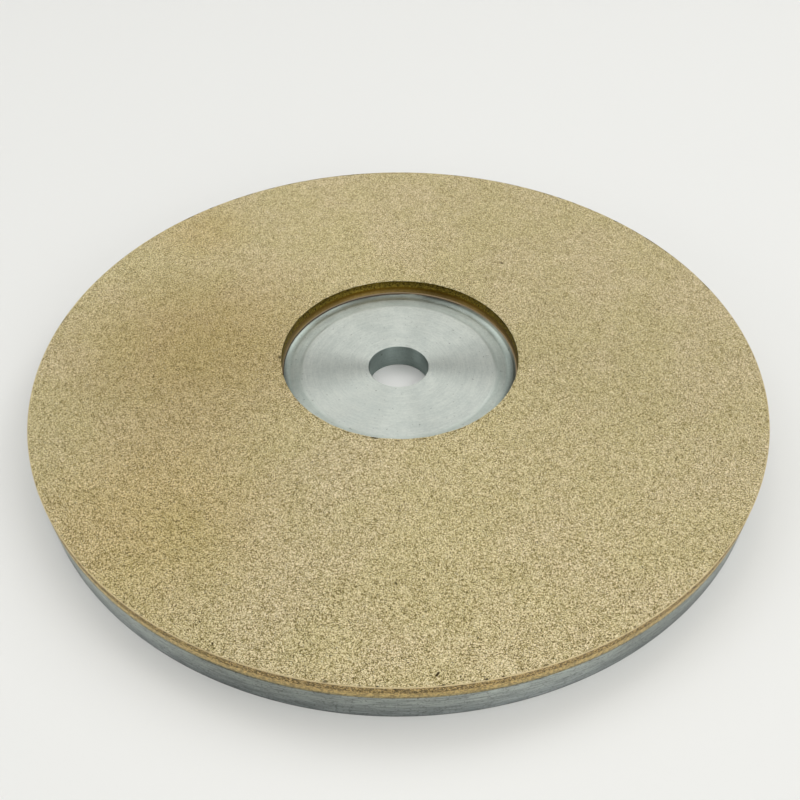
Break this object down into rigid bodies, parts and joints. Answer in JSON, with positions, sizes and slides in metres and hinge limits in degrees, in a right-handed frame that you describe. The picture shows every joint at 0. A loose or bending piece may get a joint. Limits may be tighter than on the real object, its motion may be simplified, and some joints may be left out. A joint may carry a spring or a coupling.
{
  "type": "diamond grinding wheel",
  "caption": "Face grinding wheel for lapidary work: a bronze-bonded diamond ring glued on an aluminium plate, with a recess and a plain arbor bore.",
  "frame": {"origin": "on the wheel's axis, in the plane of the back face that it lies on", "axes": "+Z along the axis, from the back face to the grinding face; the wheel is the same all round, so +X and +Y are free"},
  "size_m": [0.15, 0.15, 0.0095],
  "materials": {
    "turned_aluminium": "fine turned, satin",
    "cured_adhesive": "cured epoxy film, matt",
    "plain_bronze": "ground, satin",
    "diamond_bronze": "granular, dressed, matt",
    "diamond": "blocky crystals, glassy"
  },
  "bodies": {
    "root": {"core_plate": "turned_aluminium", "adhesive_film": "cured_adhesive", "bronze_backing": "plain_bronze", "diamond_layer": "diamond_bronze", "diamond_grains": "diamond"}
  },
  "joints": []
}
